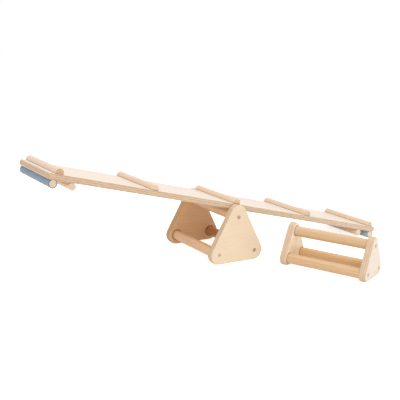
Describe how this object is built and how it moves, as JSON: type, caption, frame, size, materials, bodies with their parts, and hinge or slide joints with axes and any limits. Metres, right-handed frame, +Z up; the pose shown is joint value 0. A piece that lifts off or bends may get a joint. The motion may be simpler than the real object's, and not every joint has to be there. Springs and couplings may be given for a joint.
{
  "type": "children's balance plank",
  "caption": "Wooden plank with half-round treads and a hook under each end, rocking on a triangular stand, with a lower stand of the same kind beside it, for children's balance play.",
  "frame": {"origin": "on the floor, under the middle of the whole set", "axes": "+X along the plank towards its lowered end, +Y across the plank away from the low stand, +Z up"},
  "size_m": [1.1694, 0.59, 0.3176],
  "materials": {
    "birch_plywood_plank": "clear satin varnish",
    "birch_plywood_plate": "clear satin varnish",
    "beech_tread": "clear satin varnish",
    "beech_dowel": "clear satin varnish",
    "beech_rod": "clear satin varnish",
    "sleeve_rubber": "matt blue-grey",
    "zinc_steel": "bright zinc plate"
  },
  "bodies": {
    "tall_stand": {"tall_front_plate": "birch_plywood_plate", "tall_rear_plate": "birch_plywood_plate", "tall_top_rod": "beech_rod", "tall_left_rod": "beech_rod", "tall_right_rod": "beech_rod", "tall_stand_screws": "zinc_steel"},
    "plank": {"plank": "birch_plywood_plank", "tread_rung_1": "beech_tread", "tread_rung_2": "beech_tread", "tread_rung_3": "beech_tread", "tread_rung_4": "beech_tread", "tread_rung_5": "beech_tread", "left_hook_rod": "beech_dowel", "left_stop_rod": "beech_dowel", "right_hook_rod": "beech_dowel", "right_stop_rod": "beech_dowel", "cradle_bead_left": "beech_dowel", "cradle_bead_right": "beech_dowel", "left_hook_sleeve": "sleeve_rubber", "right_hook_sleeve": "sleeve_rubber", "rung_screws": "zinc_steel", "dowel_screws": "zinc_steel"},
    "low_stand": {"low_front_plate": "birch_plywood_plate", "low_rear_plate": "birch_plywood_plate", "low_top_rod": "beech_rod", "low_left_rod": "beech_rod", "low_right_rod": "beech_rod", "low_stand_screws": "zinc_steel"}
  },
  "joints": [
    {"name": "plank_rock", "type": "hinge", "parent": "tall_stand", "child": "plank", "pos_m": [-0.00607, 0.16151, 0.1374], "axis": [0, 1, 0], "range_deg": [-26.46, 0]},
    {"name": "low_stand_slide", "type": "slide", "parent": "tall_stand", "child": "low_stand", "axis": [0, -1, 0], "range_m": [0, 0.3]}
  ]
}
